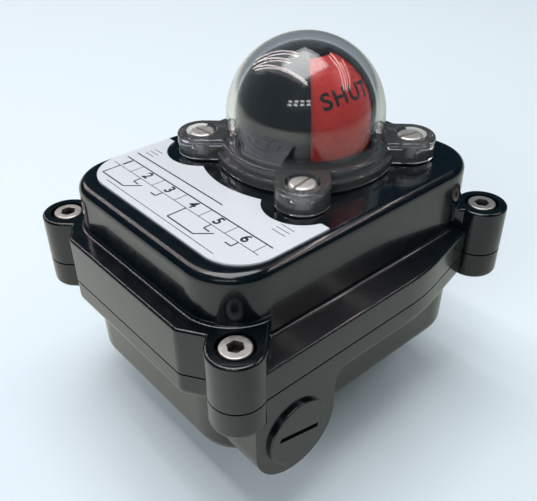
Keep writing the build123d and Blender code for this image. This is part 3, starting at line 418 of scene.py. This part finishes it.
def print_plate():
    """Ruled row of terminal numbers over two change-over contact signs, on the plate's top face."""
    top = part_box("name_plate")[1][2]
    turn = Matrix(((0, 1, 0), (-1, 0, 0), (0, 0, 1))).to_4x4()
    black = ink("black_ink", (0.02, 0.022, 0.03))
    parts = []

    def put(thing, x, y):
        thicken(thing, PRINT_T)
        thing.matrix_world = Matrix.Translation((x, y, top)) @ turn
        bpy.ops.object.transform_apply(location=True, rotation=True, scale=True)
        parts.append(thing)

    for x, y, length, angle, width in plate_strokes():
        stroke = rule_piece(length, width)
        stroke.rotation_euler = (0, 0, radians(angle))
        bpy.ops.object.transform_apply(location=False, rotation=True, scale=False)
        put(stroke, x, y)
    for cell in range(TERMINALS):
        number = mesh_text(str(cell + 1), NUMBER_SIZE, heavy=NUMBER_HEAVY)
        put(number, sum(PLATE_ROWS) / 2, PLATE_START - PLATE_CELL * cell)
    bpy.ops.object.select_all(action="DESELECT")
    for part in parts:
        part.select_set(True)
    bpy.context.view_layer.objects.active = parts[0]
    bpy.ops.object.join()
    settle(parts[0], Matrix.Identity(4), black, "plate_print", "housing")


# ---- Indicator words ------------------------------------------------------------------------------------
def drum_centre():
    """Middle of the drum's round part, which is also the dome's."""
    return Vector((0.0, 0.0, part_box("dome")[1][2] - DOME_R))


def wrap_word(words, azimuth, material, name):
    """Word laid on the round part of the drum, facing one azimuth."""
    centre = drum_centre()
    bpy.ops.object.select_all(action="DESELECT")
    bpy.ops.mesh.primitive_uv_sphere_add(
        segments=BALL_SEGMENTS, ring_count=BALL_SEGMENTS // 2, radius=DRUM_R, location=centre)
    ball = bpy.context.object
    word = mesh_text(words, WORD_SIZE, WORD_SPACING, heavy=WORD_HEAVY)
    bpy.ops.object.mode_set(mode="EDIT")
    bpy.ops.mesh.select_all(action="SELECT")
    bpy.ops.mesh.quads_convert_to_tris()
    bpy.ops.mesh.subdivide(number_cuts=WORD_CUTS)
    bpy.ops.object.mode_set(mode="OBJECT")
    out = Vector((cos(WORD_LATITUDE) * cos(azimuth), cos(WORD_LATITUDE) * sin(azimuth), sin(WORD_LATITUDE)))
    right = Vector((-sin(azimuth), cos(azimuth), 0.0))
    up = out.cross(right)
    turn = Matrix((right, up, out)).transposed().to_4x4()
    word.matrix_world = Matrix.Translation(centre + WORD_START * DRUM_R * out) @ turn
    bpy.context.view_layer.update()
    wrap = word.modifiers.new("wrap", "SHRINKWRAP")
    wrap.target = ball
    wrap.wrap_method = "PROJECT"
    wrap.use_project_z = True
    wrap.use_negative_direction = True
    wrap.use_positive_direction = False
    wrap.offset = WORD_LIFT
    bpy.ops.object.modifier_apply(modifier="wrap")
    thicken(word, PRINT_T)
    settle(word, word.matrix_world.copy(), material, name, "shaft")
    bpy.data.objects.remove(ball)


def print_words():
    """Words on the two red and the two green panels of the drum."""
    black = ink("indicator_ink", (0.015, 0.012, 0.012))
    pale = ink("pale_ink", (0.78, 0.80, 0.78))
    for index, azimuth in enumerate((-90.0, 90.0)):
        wrap_word("SHUT", radians(azimuth), black, f"shut_word_{index}")
    for index, azimuth in enumerate((0.0, 180.0)):
        wrap_word("OPEN", radians(azimuth), pale, f"open_word_{index}")


# ---- Stage ----------------------------------------------------------------------------------------------
def choose(tree, flag, before, after):
    """Colour that changes from one to another for one kind of ray."""
    path = tree.nodes.new("ShaderNodeLightPath")
    mix = tree.nodes.new("ShaderNodeMixRGB")
    tree.links.new(path.outputs[flag], mix.inputs["Fac"])
    for socket, colour in (("Color1", before), ("Color2", after)):
        if isinstance(colour, tuple):
            mix.inputs[socket].default_value = colour
        else:
            tree.links.new(colour, mix.inputs[socket])
    return mix.outputs["Color"]


def stage_material():
    """Pale matt floor; in the reflections of the box it has painted shade, a little more neutral and darker
    than to the camera, and darker still where y - x is low.
    """
    f = Finish("pale_floor")
    f.set(Roughness=0.9, Specular_IOR_Level=0.0)
    tree = f.material.node_tree
    split = f.nodes.new("ShaderNodeSeparateXYZ")
    f.links.new(f.place, split.inputs["Vector"])
    across = f.nodes.new("ShaderNodeMath")
    across.operation = "SUBTRACT"
    f.links.new(split.outputs["Y"], across.inputs[0])
    f.links.new(split.outputs["X"], across.inputs[1])
    side = f.nodes.new("ShaderNodeMapRange")
    side.inputs["From Min"].default_value = -FLOOR_BLEND
    side.inputs["From Max"].default_value = FLOOR_BLEND
    f.links.new(across.outputs["Value"], side.inputs["Value"])
    mirrored_shade = f.ramp(side.outputs["Result"], [(0.0, FLOOR_MIRRORED_SHADE[0]), (1.0, FLOOR_MIRRORED_SHADE[1])])
    return f.drive("Base Color", choose(tree, "Is Glossy Ray", FLOOR_SEEN, mirrored_shade)).material


def make_floor():
    """Floor just under the lowest point of the part."""
    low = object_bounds()[0]
    bpy.ops.mesh.primitive_plane_add(size=FLOOR_SIZE, location=(0, 0, low[2] - FLOOR_GAP))
    floor = bpy.context.object
    floor.name = "floor"
    floor.data.materials.append(stage_material())


def make_world():
    """Pale to the camera, dim in reflections and through the dome, and a soft light for everything."""
    world = bpy.data.worlds.new("studio")
    bpy.context.scene.world = world
    world.use_nodes = True
    tree = world.node_tree
    colour = choose(tree, "Is Glossy Ray", SOFT_LIGHT, MIRRORED_SKY)
    colour = choose(tree, "Is Transmission Ray", colour, SKY_THROUGH_DOME)
    colour = choose(tree, "Is Camera Ray", colour, BACKDROP)
    background = tree.nodes["Background"]
    background.inputs["Strength"].default_value = WORLD_LEVEL
    tree.links.new(colour, background.inputs["Color"])


def area_light(name, place, target, size, power, colour=(1, 1, 1)):
    """Rectangular lamp at a place, turned to a target."""
    data = bpy.data.lights.new(name, "AREA")
    data.shape = "RECTANGLE"
    data.size, data.size_y = size
    data.energy = power
    data.color = colour
    lamp = bpy.data.objects.new(name, data)
    bpy.context.scene.collection.objects.link(lamp)
    lamp.location = place
    lamp.rotation_euler = (Vector(target) - Vector(place)).to_track_quat("-Z", "Y").to_euler()
    return lamp


def make_lights():
    """Key light, soft ceiling, a window of panes and a row of tubes."""
    key = area_light("key", KEY_PLACE, KEY_TARGET, KEY_SIZE, KEY_POWER)
    key.visible_glossy = False
    key.visible_transmission = False
    area_light("ceiling", CEILING_PLACE, (*CEILING_PLACE[:2], 0), CEILING_SIZE, CEILING_POWER)
    for index in range(PANE_COLUMNS * PANE_ROWS):
        across = index % PANE_COLUMNS - (PANE_COLUMNS - 1) / 2
        up = index // PANE_COLUMNS - (PANE_ROWS - 1) / 2
        x, y, z = PANE_CENTRE
        place = (x + PANE_PITCH * across, y - PANE_PITCH * across, z + PANE_PITCH * up)
        area_light(f"pane_{index}", place, PANE_TARGET, PANE_SIZE, PANE_POWER)
    for index, (x, start, end) in enumerate(TUBE_SPANS):
        middle = (start + end) / 2
        length = end - start
        area_light(f"tube_{index}", (x, middle, TUBE_HEIGHT), (x, middle, 0), (TUBE_WIDTH, length),
                   TUBE_POWER * length, TUBE_COLOUR)


def make_camera():
    """Camera on a ray to the part, slightly rolled."""
    data = bpy.data.cameras.new("camera")
    data.lens = CAMERA_LENS
    data.sensor_width = SENSOR_WIDTH
    data.clip_start = NEAR_CLIP
    camera = bpy.data.objects.new("camera", data)
    bpy.context.scene.collection.objects.link(camera)
    az, el, roll = CAMERA_AZIMUTH, CAMERA_HEIGHT, CAMERA_ROLL
    back = Vector((sin(az) * cos(el), -cos(az) * cos(el), sin(el)))
    right = Vector((cos(az), sin(az), 0.0))
    up = back.cross(right)
    turned_right = cos(roll) * right + sin(roll) * up
    turned_up = cos(roll) * up - sin(roll) * right
    turn = Matrix((turned_right, turned_up, back)).transposed()
    camera.matrix_world = Matrix.Translation(CAMERA_PLACE) @ turn.to_4x4()
    bpy.context.scene.camera = camera


paint_nodes()
print_plate()
print_words()
make_floor()
make_world()
make_lights()
make_camera()
bpy.context.scene.view_settings.view_transform = "Standard"
